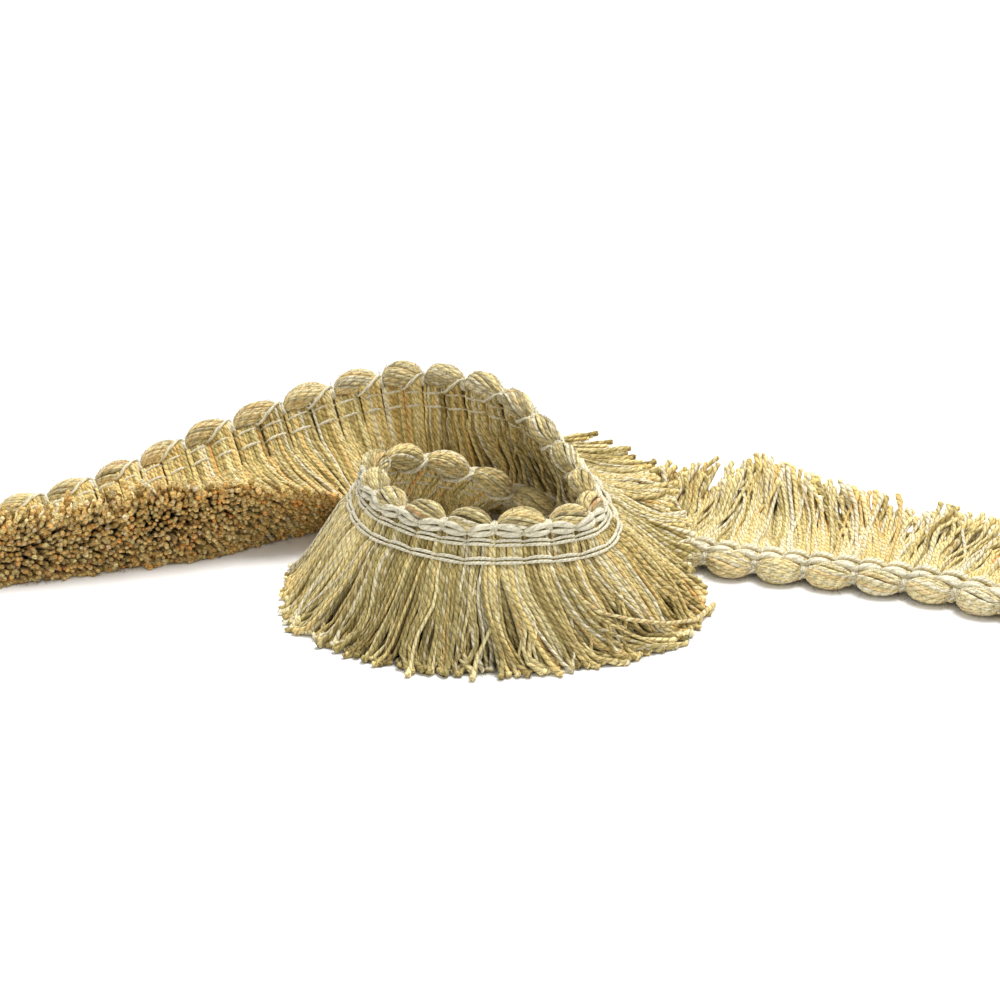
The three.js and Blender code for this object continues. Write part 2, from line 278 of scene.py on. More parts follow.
def strands(name, paths, radii, reference, dyes, sides, material, second_dyes=None):
    """One mesh of round strands: paths are (strand, ring, xyz) in mm, and reference starts each ring.
    Its UV map runs once round a strand in u, and along it in mm in v. Each ply has a colour attribute."""
    count, rings, _ = paths.shape
    ahead = unit(np.gradient(paths, axis=1))
    side = unit(reference - (reference * ahead).sum(-1, keepdims=True) * ahead)
    third = np.cross(ahead, side)
    angle = 2 * np.pi * np.arange(sides) / sides
    arm = np.cos(angle)[:, None] * side[:, :, None, :] + np.sin(angle)[:, None] * third[:, :, None, :]
    points = paths[:, :, None, :] + radii[:, :, None, None] * arm
    index = np.arange(count * rings * sides).reshape(count, rings, sides)
    quads = ring_quads(index)
    ends = np.concatenate([index[:, 0, ::-1], index[:, -1]])

    steps = np.linalg.norm(np.diff(paths, axis=1), axis=-1)
    # each strand starts somewhere else on its pattern, so no two look alike
    along = np.concatenate([np.zeros((count, 1)), np.cumsum(steps, 1)], 1) + 40 * rng.random((count, 1))
    turn = np.arange(sides) / sides
    u = np.broadcast_to(turn, (count, rings - 1, sides)) + rng.random((count, 1, 1))
    v_near = np.broadcast_to(along[:, :-1, None], u.shape)
    v_far = np.broadcast_to(along[:, 1:, None], u.shape)
    edge = 1 / sides
    corners = [(u, v_near), (u + edge, v_near), (u + edge, v_far), (u, v_far)]
    quad_uv = np.stack([np.stack(corner, -1) for corner in corners], -2).reshape(-1, 2)
    end_v = np.concatenate([along[:, 0], along[:, -1]])
    end_uv = np.stack([np.tile(turn, (2 * count, 1)), np.repeat(end_v[:, None], sides, 1)], -1).reshape(-1, 2)

    mesh = bpy.data.meshes.new(name)
    mesh.vertices.add(points.size // 3)
    mesh.vertices.foreach_set("co", (points * MM).astype(np.float32).ravel())
    corner_vertices = np.concatenate([quads.ravel(), ends.ravel()]).astype(np.int32)
    sizes = np.concatenate([np.full(len(quads), 4), np.full(len(ends), sides)]).astype(np.int32)
    mesh.loops.add(len(corner_vertices))
    mesh.loops.foreach_set("vertex_index", corner_vertices)
    mesh.polygons.add(len(sizes))
    mesh.polygons.foreach_set("loop_start", np.concatenate([[0], np.cumsum(sizes)[:-1]]).astype(np.int32))
    mesh.polygons.foreach_set("loop_total", sizes)
    mesh.polygons.foreach_set("use_smooth", np.ones(len(sizes), bool))
    uv = mesh.uv_layers.new(name="strand")
    uv.data.foreach_set("uv", np.concatenate([quad_uv, end_uv]).astype(np.float32).ravel())
    second_dyes = dyes if second_dyes is None else second_dyes
    for layer, ply_dyes in (("first_ply", dyes), ("second_ply", second_dyes)):
        colours = np.ones((count, rings, sides, 4), np.float32)
        colours[..., :3] = np.broadcast_to(ply_dyes, (count, rings, 3))[:, :, None, :]
        dye_points(mesh, layer, colours)
    mesh.update(calc_edges=True)
    mesh.validate()
    mesh.materials.append(material)
    return add_object(name, mesh)


def joined(groups):
    """The same parts of several groups of strands, put end to end."""
    return [np.concatenate([group[i] for group in groups]) for i in range(len(groups[0]))]


# Materials


def add_node(material, kind, inputs=None, links=None, **settings):
    """Adds a node with its settings, its sockets' values and what feeds them."""
    tree = material.node_tree
    node = tree.nodes.new(kind)
    for name, value in settings.items():
        setattr(node, name, value)
    for name, value in (inputs or {}).items():
        node.inputs[name].default_value = value
    for name, socket in (links or {}).items():
        tree.links.new(socket, node.inputs[name])
    return node


def maths(material, operation, *terms):
    """A maths node on sockets and plain numbers, and its result."""
    inputs = {i: term for i, term in enumerate(terms) if isinstance(term, (int, float))}
    links = {i: term for i, term in enumerate(terms) if not isinstance(term, (int, float))}
    return add_node(material, "ShaderNodeMath", inputs, links, operation=operation).outputs[0]


def plied_yarn(name, turn, groove_shade, fuzz, sheen, relief=0.2, mottling=0.2):
    """Two-ply spun yarn: each ply is a soft round ridge that winds round the strand in its own dye, with
    painted shade, dark and warm, in the groove between the plies, and fine fibres along them. Turn is the
    length of one whole turn, and relief how deep the groove is, in mm; groove_shade, fuzz and mottling are
    how far each changes the dye."""
    material = bpy.data.materials.new(name)
    material.use_nodes = True
    material.node_tree.nodes.clear()
    uv = add_node(material, "ShaderNodeUVMap", uv_map="strand").outputs["UV"]
    place = add_node(material, "ShaderNodeSeparateXYZ", links={"Vector": uv})
    wound = maths(material, "MULTIPLY_ADD", place.outputs["Y"], 1 / turn, place.outputs["X"])
    wave = maths(material, "SINE", maths(material, "MULTIPLY", wound, 2 * math.pi))
    ply = maths(material, "POWER", maths(material, "ABSOLUTE", wave), 0.5)
    which = add_node(
        material,
        "ShaderNodeMapRange",
        inputs={"From Min": -0.25, "From Max": 0.25},
        links={"Value": wave},
    )
    # fibres lie along the yarn, so the noise that draws them is drawn out along it
    lengthwise = add_node(material, "ShaderNodeMapping", inputs={"Scale": (12, 1.1, 1)}, links={"Vector": uv})
    fibres = add_node(
        material,
        "ShaderNodeTexNoise",
        inputs={"Scale": 1.5, "Detail": 3.0, "Roughness": 0.7, "Distortion": 0.8},
        links={"Vector": lengthwise.outputs[0]},
    )
    spinning = add_node(
        material, "ShaderNodeTexNoise", inputs={"Scale": 0.7, "Detail": 2.0}, links={"Vector": uv}
    )
    first = add_node(material, "ShaderNodeVertexColor", layer_name="first_ply")
    second = add_node(material, "ShaderNodeVertexColor", layer_name="second_ply")
    plies = add_node(
        material,
        "ShaderNodeMix",
        data_type="RGBA",
        links={0: which.outputs[0], 6: first.outputs["Color"], 7: second.outputs["Color"]},
    )
    streak = add_node(
        material,
        "ShaderNodeMapRange",
        inputs={"From Min": 0.3, "From Max": 0.7, "To Min": 1.0 - fuzz, "To Max": 1.0 + fuzz},
        links={"Value": fibres.outputs["Fac"]},
    )
    patch = add_node(
        material,
        "ShaderNodeMapRange",
        inputs={"From Min": 0.3, "From Max": 0.7, "To Min": 0.86, "To Max": 1.12},
        links={"Value": spinning.outputs["Fac"]},
    )
    # the fibres are of many shades, which shows as fine mottling
    solid = add_node(material, "ShaderNodeTexCoord").outputs["Object"]
    flecks = add_node(
        material, "ShaderNodeTexNoise", inputs={"Scale": 1900.0, "Detail": 2.0}, links={"Vector": solid}
    )
    mottle = add_node(
        material,
        "ShaderNodeMapRange",
        inputs={"From Min": 0.35, "From Max": 0.65, "To Min": 1.0 - mottling, "To Max": 1.0 + mottling},
        links={"Value": flecks.outputs["Fac"]},
    )
    light = maths(material, "MULTIPLY", streak.outputs[0], patch.outputs[0])
    light = maths(material, "MULTIPLY", light, mottle.outputs[0])
    # a groove is darker and warmer, as its light has been through the fibres: blue fades first in it. This
    # darkening is painted shade.
    shades = []
    for depth in (0.86, 1.0, 1.18):
        floor = max(1.0 - groove_shade * depth, 0.02)
        shade = add_node(
            material,
            "ShaderNodeMapRange",
            inputs={"From Max": 0.8, "To Min": floor, "To Max": 1.0},
            links={"Value": ply},
        )
        shades.append(maths(material, "MULTIPLY", shade.outputs[0], light))
    shadow = add_node(
        material, "ShaderNodeCombineColor", links={"Red": shades[0], "Green": shades[1], "Blue": shades[2]}
    )
    dye_and_painted_light = add_node(
        material,
        "ShaderNodeMix",
        data_type="RGBA",
        blend_type="MULTIPLY",
        inputs={0: 1.0},
        links={6: plies.outputs[2], 7: shadow.outputs[0]},
    )
    height = maths(material, "MULTIPLY_ADD", fibres.outputs["Fac"], 0.5, ply)
    bump = add_node(
        material,
        "ShaderNodeBump",
        inputs={"Strength": 1.0, "Distance": relief * MM},
        links={"Height": height},
    )
    surface = add_node(
        material,
        "ShaderNodeBsdfPrincipled",
        inputs={
            "Roughness": 0.8,
            "IOR": 1.5,
            "Specular IOR Level": 0.25,
            "Sheen Weight": sheen,
            "Sheen Roughness": 0.5,
        },
        links={"Base Color": dye_and_painted_light.outputs[2], "Normal": bump.outputs[0]},
    )
    add_node(material, "ShaderNodeOutputMaterial", links={"Surface": surface.outputs[0]})
    return material


def table_paper():
    """The pale table: a matt white sheet."""
    material = bpy.data.materials.new("matt_white_paper")
    material.use_nodes = True
    surface = material.node_tree.nodes["Principled BSDF"]
    surface.inputs["Base Color"].default_value = (0.93, 0.93, 0.93, 1.0)
    surface.inputs["Roughness"].default_value = 0.9
    surface.inputs["Specular IOR Level"].default_value = 0.1
    return material


BRUSH_YARN = plied_yarn("plied_brush_yarn", turn=3.6, groove_shade=0.74, fuzz=0.26, sheen=0.15, mottling=0.14)
CROWN_YARN = plied_yarn("soft_crown_yarn", turn=4.6, groove_shade=0.6, fuzz=0.3, sheen=0.2, mottling=0.16)
CREAM_CORD = plied_yarn("cream_binding_cord", 2.4, 0.32, fuzz=0.12, sheen=0.15, relief=0.16, mottling=0.08)
PLUMP_CORD = plied_yarn("plump_cream_cord", turn=7.0, groove_shade=0.3, fuzz=0.2, sheen=0.15, mottling=0.1)
HEADING_GROUND = plied_yarn("heading_ground_yarn", turn=2.0, groove_shade=0.4, fuzz=0.2, sheen=0.05)
LOOSE_FIBRE = plied_yarn("loose_yarn_fibre", turn=6.0, groove_shade=0.05, fuzz=0.1, sheen=0.1)


# The brush

FACE_PER_PUFF = 17
BRUSH_SIDES = 5
# where the brush lies with its cut end to the eye its heart shows, and there it is dense and even
HEART_LAYERS = ((5, 16), (8, 5), (24, 5), (26, 6))
HEART_PER_PUFF = ((5, 16.5), (8, 17))
HEART_FROM = 0.06
HEART_SPAN = 0.88
CELLS_PER_PUFF = 2
CELL_SQUEEZE = 0.96
BACK_SQUEEZE = 0.9
PLY_CONTRAST = 0.42
# how a yarn swells out between the cords as it goes down through the heading, on the face, and on the
# back, where every other cell of yarns climbs past its puff to the neck: mm below the crown, and mm out
FACE_WEFT = np.array([(1.4, 0.7), (2.6, 0.75), (3.9, 0.85), (5.9, 1.15), (6.9, 1.15), (8.1, 0.9), (9.8, 1.1)])
TALL_WEFT = np.array([(-0.2, 1.5), (1.6, 2.4), (3.0, 1.9), (4.3, 1.35), (6.1, 1.7), (7.9, 1.2), (9.8, 1.3)])
LOW_WEFT = np.array([(2.6, 0.6), (3.1, 1.0), (3.6, 1.3), (4.3, 1.35), (6.1, 1.7), (7.9, 1.2), (9.8, 1.3)])
TUCK_WEFT = np.array([(8.4, 0.2), (9.9, 0.75)])
WEFT_DEPTH = 0.25
WEFT_THICKENING = 1.15
FACE_STEPS = np.array([0.06, 0.19, 0.33, 0.47, 0.6, 0.74, 0.88, 1.0])
TUCKED_STEPS = np.array([0.06, 0.32, 0.58, 0.82, 1.0])
HEART_STEPS = np.array([0.08, 0.45, 0.8, 1.0])
FACE_LAYERS = ((0.0, True), (0.11, False), (0.89, False), (1.0, True))

# Tables along the trim, each row a place and a value
# how far whole stretches of the brush are brushed aside at their tips, in puffs
SWEEP = (
    ((-2, 0.5), (5, 0.65), (7, 0.4), (9, 0.1), (10, 0.5), (11.5, 0.6), (13, 0.2), (14.5, 0.1), (16, -0.5))
    + ((16.8, -0.8), (17.3, -0.5), (18, -0.1), (19, 0.1), (20, 0.15), (22, 0), (27, 0), (29, -0.1))
    + ((30, -0.3), (31, -0.5), (32.3, -0.5), (33, -0.1), (33.6, 0.1), (34.5, 0.4), (37, 0.8))
)
# how long the brush is cut, as a share of its full reach, and how unevenly
CUT_LENGTHS = (
    ((9, 1), (10, 0.92), (12, 0.92), (15, 0.94), (16, 0.98), (17, 1.04), (21, 1.04), (24, 1))
    + ((28, 0.96),)
)
UNEVEN_CUTS = ((-2, 0.02), (24, 0.022), (28, 0.042), (37, 0.042))
# how far down its own length the brush bends outward
BENDS = ((13, BRUSH_BEND), (15, 0.52), (22, 0.52), (24, BRUSH_BEND))
# how unruly the brush is: the stretch that lies face up has been ruffled most
RAGGEDNESS = ((-2, 0.9), (4, 0.8), (9, 0.8), (12, 1), (15, 1), (23, 1), (27, 1.2), (29, 1.8), (37, 1.8))
# how strongly tips cling in clumps, how freely clumps lean, and how many yarns stray
CLINGING = ((-2, 0.2), (6, 0.3), (9, 0.8), (37, 0.8))
CLUMP_FREEDOM = ((6, 0.35), (9, 1.0))
STRAYS = ((9, 0.02), (12, 0.05))
# how much play the heart's yarns have, where 1 is that of the faces, and how thin that makes them
HEART_PLAY = ((6, 0.3), (9, 1.0))
THINNED_BY_PLAY = ((0.3, 0.86), (1, 1))
# how far the cut ends open, as a share of the yarn's radius
FLARES = ((6, 1.28), (9, 1.4), (13, 1.4), (15, 1.6), (23, 1.6), (25, 1.4))
# how far the cut ends are browned: partly the yarn's inside showing, and partly painted shade where the eye
# looks into the cut ends
BROWNED_AND_SHADED = ((-2, 0.75), (6, 0.75), (8.5, 0.3), (12, 0))

# Tables across the brush, from its back, 0, to its face, 1: how far, and how brightly, ends are browned. The
# brightness is painted light from above, lightest at the back, which lies uppermost at the cut face
BROWNED_AND_SHADED_ACROSS = ((0, 0.5), (0.25, 1.0))
END_PAINTED_LIGHT = ((0, 1.7), (0.15, 1.5), (0.4, 1.15), (1, 0.95))

# Yarns cling together towards their tips, in clumps of no even width
CLUMPS = np.cumsum(rng.uniform(0.1, 0.3, 260)) + FIRST_PUFF - 1
CLUMP_LEAN = rng.normal(0, 0.1, len(CLUMPS))
CLUMP_REACH = rng.normal(1.0, 0.035, len(CLUMPS))
CLUMP_DEPTH = rng.normal(0, 0.03, len(CLUMPS))
CLUMP_WAVE = rng.normal(0, 0.06, len(CLUMPS))
CLUMP_BEND = rng.normal(0, 0.05, len(CLUMPS))
CLUMP_PACE = rng.uniform(4, 8, len(CLUMPS))
CLUMP_START = rng.uniform(0, 2 * np.pi, len(CLUMPS))
# the clumps of the face stand between those of the back, by this much of a puff
CLUMP_SHIFT = 0.37


def raggedness(puff):
    """How unruly the brush is at a place, where 1 is its general state."""
    return read_off(RAGGEDNESS, puff)


def clinging(puff, across):
    """How strongly tips cling in clumps: most on the faces, and least where the brush stands end on."""
    on_face = 1.0 if across < 0.02 or across > 0.8 else 0.3
    return on_face * read_off(CLINGING, puff)


def sweep(puff):
    """How far the tips are brushed aside at a place, in puffs."""
    return read_off(SWEEP, puff) + 0.06 * np.sin(4.3 * puff + 2.1)


def squeezed(puff, share):
    """Yarns stand together in the heading's cells, so their places draw in to each cell's middle."""
    cell = np.floor(puff * CELLS_PER_PUFF)
    middle = (cell + 0.5) / CELLS_PER_PUFF
    return middle + (puff - middle) * share


def neckness(puff):
    """1 at the necks between puffs and 0 at the middle of each puff."""
    return 0.5 - 0.5 * np.cos(2 * np.pi * puff)


def cell_swell(puff):
    """1 in the middle of a cell of the heading and 0 where two cells meet."""
    return np.abs(np.sin(2 * np.pi * puff))


def rest_on_table(paths, radii):
    """No strand goes into the table."""
    paths[..., 2] = np.maximum(paths[..., 2], radii)
    return paths


def yarn_tip(paths, radii):
    """Adds the cut end to each yarn: the plies open a little, and the end closes blunt."""
    last = unit(paths[:, -1] - paths[:, -2])
    spread = paths[:, -1] + last * 0.9
    end = paths[:, -1] + last * 1.2
    paths = np.concatenate([paths, spread[:, None], end[:, None]], 1)
    radii = np.concatenate([radii, 1.15 * radii[:, -1:], 0.95 * radii[:, -1:]], 1)
    return paths, radii


def growing(t):
    """Waves are slight at a yarn's root and full at its tip."""
    return 0.3 + 0.7 * t


def near_tip(t, begins, span):
    """0 up to a place on the way to the tip, and 1 at the end of a span from it."""
    return np.clip((t - begins) / span, 0, 1)


def waves(count, steps, slow, fast):
    """Soft waves along each yarn that grow from its root, each yarn with its own."""
    pace = rng.uniform(slow, fast, (count, 1))
    start = rng.uniform(0, 2 * np.pi, (count, 1))
    return (np.sin(steps * pace + start) - np.sin(start)) * growing(steps)


def weft_places(root, side):
    """How far below the crown, and how far out, each yarn goes through the heading, on its face or back."""
    if side > 0:
        return np.repeat(FACE_WEFT[None], len(root), 0)
    return np.where((np.mod(root, 1.0) < 0.5)[:, None, None], TALL_WEFT, LOW_WEFT)


def brush_tips(root, across, clump, play, loose):
    """Where the tip of each yarn is along the trim, and its depth in the brush at its root and at its tip."""
    count = len(root)
    rough = raggedness(root)
    middle = (CLUMPS[clump] + CLUMPS[clump - 1]) / 2 - CLUMP_SHIFT * across
    cling = rng.uniform(0.4, 1.0, count) * clinging(root, across)
    tip = root + (middle - root) * cling + sweep(root) + CLUMP_LEAN[clump] * rough * loose
    tip = tip + rng.normal(0, 0.03, count) * rough * play
    stray = rng.random(count) < read_off(STRAYS, root) * rough
    tip = tip + stray * rng.choice([-1, 1], count) * rng.uniform(0.15, 0.8, count)
    depth = across + rng.normal(0, 0.03, count) * play
    tip_depth = depth + (CLUMP_DEPTH[clump] + rng.normal(0, 0.035, count) * rough) * play
    # a stray lies on the outside of the brush
    tip_depth = np.where(stray, np.round(across) + 0.04 * np.sign(across - 0.5), tip_depth)
    return tip, depth, tip_depth


def hanging_paths(root, start, across, clump, steps, play, loose):
    """The paths of a layer's yarns from the edge of the heading to their tips."""
    count = len(root)
    rough = raggedness(root)
    tip, depth, tip_depth = brush_tips(root, across, clump, play, loose)
    uneven = rng.normal(0, 1, count) * read_off(UNEVEN_CUTS, root)
    stretch = read_off(CUT_LENGTHS, root) * (1 + (CLUMP_REACH[clump] - 1) * play) + uneven
    t = steps[None, :]
    # the squeeze of the heading's cells is lost on the first third of the way down
    puff = root[:, None] + (start - root[:, None]) * np.clip(1 - t / 0.35, 0, 1) ** 2
    puff = puff + (tip - root)[:, None] * t**1.5
    curl = rng.normal(0, 0.07, (count, 1)) * (rough * play)[:, None]
    puff = puff + curl * near_tip(t, 0.6, 0.4) ** 2
    pace, begin = CLUMP_PACE[clump][:, None], CLUMP_START[clump][:, None]
    together = CLUMP_WAVE[clump][:, None] * (np.sin(pace * t + begin) - np.sin(begin)) * growing(t)
    own = 0.022 * play[:, None] * waves(count, t, 4, 14)
    puff = puff + rough[:, None] * (together * loose[:, None] + own)
    puff = np.clip(puff, FIRST_PUFF - 0.2, LAST_PUFF + 0.2)
    deep = depth[:, None] + (tip_depth - depth)[:, None] * t + 0.03 * play[:, None] * waves(count, t, 5, 13)
    bend = (read_off(BENDS, root) + CLUMP_BEND[clump] * loose)[:, None, None]
    along, reach = np.broadcast_to(t, puff.shape), np.broadcast_to(stretch[:, None], puff.shape)
    return in_brush(puff, deep, along, reach, bend)


def yarn_radii(root, steps, play):
    """The radius of each yarn, and its radius at each step, a little more at its root and its cut end."""
    count = len(root)
    size = np.clip(rng.normal(0.45, 0.05, count), 0.34, 0.6) * read_off(THINNED_BY_PLAY, play)
    flare = read_off(FLARES, root)[:, None] * rng.uniform(0.85, 1.15, (count, 1))
    at_root = np.interp(steps, [0, 0.2], [1.1, 1.0])[None, :] * np.ones((count, 1))
    return size, size[:, None] * (at_root + (flare - 1) * near_tip(steps, 0.85, 0.15)[None, :] ** 1.5)


def add_weft(paths, radii, root, start, side, size, through_heading):
    """Puts each yarn's way through the heading before its hanging length: it swells out between the cords
    in the middle of a cell, or only tucks in under the heading's edge."""
    weft = weft_places(root, side) if through_heading else np.repeat(TUCK_WEFT[None], len(root), 0)
    bound = np.broadcast_to(start, weft.shape[:2])
    barrel = 0.68 + 0.32 * cell_swell(start) ** 0.6
    outward = side * (weft[:, :, 1] * barrel - WEFT_DEPTH) + rng.normal(0, 0.05, (len(root), 1))
    paths = np.concatenate([on_heading(bound, weft[:, :, 0], outward), paths], 1)
    radii = np.concatenate([np.repeat(size[:, None] * WEFT_THICKENING, weft.shape[1], 1), radii], 1)
    return paths, radii


def yarn_dyes_and_painted_light(root, across, rings):
    """The colours of both plies at each ring: a yarn may change its dye on the way, cut ends are lightened
    with painted light, and they are browned, partly as the yarn's inside and partly as painted shade.
    """
    count = len(root)
    near_dye, far_dye = pick_dyes_and_painted_light(root), pick_dyes_and_painted_light(root)
    change = rng.uniform(0.0, 2.0, (count, 1))
    blend = np.clip((np.linspace(0, 1, rings)[None, :] - change) / 0.25 + 0.5, 0, 1)[..., None]
    first_ply = near_dye[:, None] * (1 - blend) + far_dye[:, None] * blend
    browned_and_shaded = read_off(BROWNED_AND_SHADED, root) * rng.uniform(0.5, 1.3, count)
    browned_and_shaded = browned_and_shaded * read_off(BROWNED_AND_SHADED_ACROSS, across)
    # the last rings are the cut end's, where the inside of the yarn shows, darkened further with painted
    # shade
    at_tip = np.clip(np.arange(rings) - rings + 4, 0, 2) / 2
    browned_and_shaded = np.clip(browned_and_shaded, 0, 1)[:, None, None] * at_tip[None, :, None]
    # the cut ends are made up to a fifth lighter: painted light
    first_ply = first_ply * (1 + 0.2 * at_tip[None, :, None])
    cut_end = SHADED_CUT_ENDS[rng.integers(0, len(SHADED_CUT_ENDS), count)] * rng.uniform(0.75, 1.3, (count, 1))
    cut_end = cut_end * read_off(END_PAINTED_LIGHT, across)
    first_ply = first_ply * (1 - browned_and_shaded) + cut_end[:, None] * browned_and_shaded
    second_ply = first_ply * (1 - PLY_CONTRAST) + pick_dyes_and_painted_light(root)[:, None] * PLY_CONTRAST
    return first_ply, second_ply


def brush_yarns(first, last, across, per_puff, steps, through_heading, shift=0.0):
    """The yarns of one layer between two places along the trim: their paths, radii, references, dyes."""
    count = round((last - first) * per_puff)
    root = first + (np.arange(count) + 0.5 + shift) / per_puff
    root = root + rng.uniform(-0.3, 0.3, count) / per_puff
    in_heart = steps is HEART_STEPS
    play = read_off(HEART_PLAY, root) if in_heart else np.ones(count)
    loose = read_off(CLUMP_FREEDOM, root) * (0.25 if in_heart else 1.0)
    clump = np.clip(np.searchsorted(CLUMPS, root + CLUMP_SHIFT * across), 1, len(CLUMPS) - 1)
    side, squeeze = (1.0, CELL_SQUEEZE) if across > 0.5 else (-1.0, BACK_SQUEEZE)
    start = squeezed(root, squeeze)[:, None]
    paths = hanging_paths(root, start, across, clump, steps, play, loose)
    size, radii = yarn_radii(root, steps, play)
    if not in_heart:
        paths, radii = add_weft(paths, radii, root, start, side, size, through_heading)
    paths, radii = yarn_tip(paths, radii)
    first_ply, second_ply = yarn_dyes_and_painted_light(root, across, paths.shape[1])
    return rest_on_table(paths, radii), radii, station(root)["ahead"][:, None, :], first_ply, second_ply


def brush(number, first, last):
    """One length of brush, two puffs long: the yarns of its two faces, and those between them."""
    bound, loose = [], []
    for across, through_heading in FACE_LAYERS:
        steps = FACE_STEPS if through_heading else TUCKED_STEPS
        group = brush_yarns(first, last, across, FACE_PER_PUFF, steps, through_heading)
        (bound if through_heading else loose).append(group)
    heart = []
    layers = round(read_off(HEART_LAYERS, first))
    per_puff = read_off(HEART_PER_PUFF, first)
    for layer in range(layers):
        across = HEART_FROM + HEART_SPAN * (layer + 0.5) / layers
        heart.append(brush_yarns(first, last, across, per_puff, HEART_STEPS, False, 0.5 * (layer % 2)))
    pieces = []
    for part, groups in (("bound", bound), ("loose", loose), ("heart", heart)):
        paths, radii, reference, first_ply, second_ply = joined(groups)
        name = f"brush_{part}_{number:02d}"
        pieces.append(strands(name, paths, radii, reference, first_ply, BRUSH_SIDES, BRUSH_YARN, second_ply))
    return pieces


# The heading

GROUND_FACE = ((1.8, 0.5), (8.6, 0.5), (10.2, 1.0), (13.2, 0.9))
GROUND_OUTLINE = tuple((below, -outward) for below, outward in GROUND_FACE) + GROUND_FACE[::-1]
GROUND_RINGS_PER_PUFF = 4
# the stretch that lies face up, 1, has cords that stand fuller
RELAXED = ((25, 0), (28, 1))
# the cords' cream is darker round the coil: painted shade
CORD_PAINTED_SHADE = ((13, 1.0), (16, 0.9), (22, 0.9), (25, 1.0))

# The strand on the back from one puff to the next: the share of the way, and mm below the crown or out
GARLAND_BELOW = (
    ((0, 3.6), (0.12, 3.0), (0.3, 1.3), (0.45, -0.2), (0.53, -0.6), (0.6, 2.4), (0.93, 2.4))
    + ((1, 3.6),)
)
GARLAND_OUT = ((0, 2.0), (0.25, 2.9), (0.4, 2.3), (0.5, 1.2), (0.56, 0.2), (0.93, 0.2), (1, 2.0))
GARLAND_STANDS_OUT = ((25, 1.0), (28, 0.5))
GARLAND_FULLNESS = ((11, 0.14), (13, 0.25))
# The plump cords: mm below the crown, mm that each climbs at a neck and dips in a cell, mm out, and a
# share of the full thickness
PLUMP_CORDS = ((2.35, 0.95, -0.25, 1.55, 1.0), (2.95, 0.35, 0.35, 1.15, 0.95))
# The thin pairs on the face: mm below the crown, and where in its wandering each starts
THIN_PAIRS = ((4.85, 0.4), (8.85, 1.9))
# The single cords on the back: mm below the crown, mm deep where cells meet, and mm that each swells
BACK_CORDS = ((4.3, 0.5, 0.12), (7.9, 0.35, 0.2))


def along_trim(per_puff):
    """Even places along the whole trim, so many to a puff."""
    return np.linspace(FIRST_PUFF, LAST_PUFF, round((LAST_PUFF - FIRST_PUFF) * per_puff) + 1)


def heading_ground():
    """The woven ground of the heading, a narrow band of cloth that the yarns and cords cover."""
    puff = along_trim(GROUND_RINGS_PER_PUFF)
    mesh = bpy.data.meshes.new("heading_ground")
    corners = len(GROUND_OUTLINE)
    rings = [on_heading(puff, np.full(len(puff), b), np.full(len(puff), o)) for b, o in GROUND_OUTLINE]
    index = np.arange(len(puff) * corners).reshape(1, -1, corners)
    faces = ring_quads(index).tolist() + [index[0, 0, ::-1].tolist(), index[0, -1].tolist()]
    mesh.from_pydata((np.stack(rings, 1).reshape(-1, 3) * MM).tolist(), [], faces)
    mesh.update()
    uv = mesh.uv_layers.new(name="strand")
    at = np.empty(len(mesh.loops), np.int32)
    mesh.loops.foreach_get("vertex_index", at)
    place = np.stack([(at % corners) / corners, (at // corners) * PUFF_PITCH / GROUND_RINGS_PER_PUFF], -1)
    uv.data.foreach_set("uv", place.astype(np.float32).ravel())
    colour = np.tile(np.append(GROUND_OLIVE, 1.0), (len(mesh.vertices), 1))
    for layer in ("first_ply", "second_ply"):
        dye_points(mesh, layer, colour)
    mesh.materials.append(HEADING_GROUND)
    return add_object("heading_ground", mesh)


def long_strand(puff, below, outward, radii):
    """One strand that runs along the trim, with the heading's face as its reference."""
    path = on_heading(puff, below, outward)
    return path[None], np.broadcast_to(radii, puff.shape)[None], station(puff)["face"][None]


def cream_with_painted_shade(puff):
    """The cream of the cords, a little darker round the coil as painted shade, and waving a little along the
    trim.
    """
    shade = read_off(CORD_PAINTED_SHADE, puff) + 0.05 * np.sin(5.7 * puff + 1.3)
    return CORD_CREAM[None, None, :] * shade[None, :, None]


def garland(puff):
    """The cream strand on the heading's back that climbs from under each puff to bind the neck after it."""
    way = np.mod(puff, 1.0)
    below = read_off(GARLAND_BELOW, way)
    outward = read_off(GARLAND_OUT, way) * read_off(GARLAND_STANDS_OUT, puff)
    full = np.sin(np.pi * np.clip(way / 0.5, 0, 1))
    return long_strand(puff, below, -outward, 0.3 + read_off(GARLAND_FULLNESS, puff) * full)


def plump_pair():
    """The plump pair of cream cords under the crown: soft and full in each cell, pinched where two cells
    meet. The upper one climbs to bind each neck and dips under each puff."""
    puff = along_trim(20)
    neck, cell = neckness(puff), cell_swell(puff)
    wander = 0.08 * np.sin(3.1 * puff + 0.4)
    full = 0.32 + 0.44 * cell**0.6
    lift = 0.65 * read_off(RELAXED, puff)
    made = []
    for row, climb, dip, out, share in PLUMP_CORDS:
        below = row - climb * neck + dip * cell + wander
        made.append(long_strand(puff, below, out + 0.65 * cell + lift, full * share))
    made.append(garland(puff))
    paths, radii, reference = joined(made)
    paths = rest_on_table(paths, radii)
    return strands("plump_cords", paths, radii, reference, cream_with_painted_shade(puff), 7, PLUMP_CORD)


